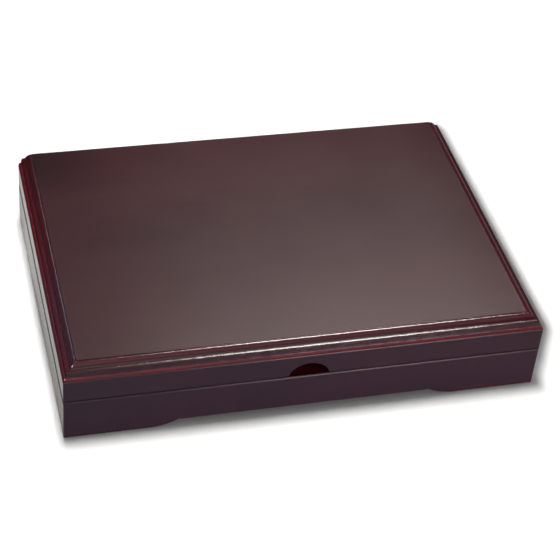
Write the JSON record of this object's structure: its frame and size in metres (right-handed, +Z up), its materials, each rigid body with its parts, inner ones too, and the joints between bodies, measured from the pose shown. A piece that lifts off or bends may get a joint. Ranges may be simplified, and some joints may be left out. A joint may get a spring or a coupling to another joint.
{
  "type": "coin display case",
  "caption": "Low rectangular wooden display case on bracket feet, with a hinged moulded lid, a finger notch and velvet-lined compartments for coin capsules.",
  "frame": {"origin": "on the floor under the middle of the base rails' rectangle", "axes": "+X to the user's right (the long side), -Y towards the user (the side with the finger notch), +Z up; lid shut"},
  "size_m": [0.33, 0.235, 0.0595],
  "materials": {
    "mahogany": "dark red-brown stain under satin lacquer, arrises worn to red",
    "inner_wood": "plain sawn wood, stained",
    "plywood": "plain birch plywood",
    "velvet": "short-pile wine-red velvet",
    "brass": "satin brass",
    "felt": "dark wool felt"
  },
  "bodies": {
    "base": {"base_front_rail": "mahogany", "base_back_rail": "mahogany", "base_left_rail": "mahogany", "base_right_rail": "mahogany", "base_floor": "plywood", "corner_block_1": "inner_wood", "corner_block_2": "inner_wood", "corner_block_3": "inner_wood", "corner_block_4": "inner_wood", "felt_pad_1": "felt", "felt_pad_2": "felt", "felt_pad_3": "felt", "felt_pad_4": "felt", "tray_board": "inner_wood", "tray_velvet": "velvet", "tray_front_wall": "velvet", "tray_back_wall": "velvet", "tray_left_wall": "velvet", "tray_right_wall": "velvet", "long_divider_1": "velvet", "long_divider_2": "velvet", "long_divider_3": "velvet", "cross_divider_1": "velvet", "cross_divider_2": "velvet", "cross_divider_3": "velvet", "cross_divider_4": "velvet", "cross_divider_5": "velvet", "hinge_left_base_leaf": "brass", "hinge_left_pin": "brass", "hinge_right_base_leaf": "brass", "hinge_right_pin": "brass", "base_hinge_screws": "brass"},
    "lid": {"lid_panel": "mahogany", "lid_front_rail": "mahogany", "lid_back_rail": "mahogany", "lid_left_rail": "mahogany", "lid_right_rail": "mahogany", "lid_lining": "velvet", "hinge_left_lid_leaf": "brass", "hinge_right_lid_leaf": "brass", "lid_hinge_screws": "brass"}
  },
  "joints": [
    {"name": "lid_hinge", "type": "hinge", "parent": "base", "child": "lid", "pos_m": [0, 0.1149, 0.03315], "axis": [-1, 0, 0], "range_deg": [0, 100]}
  ]
}
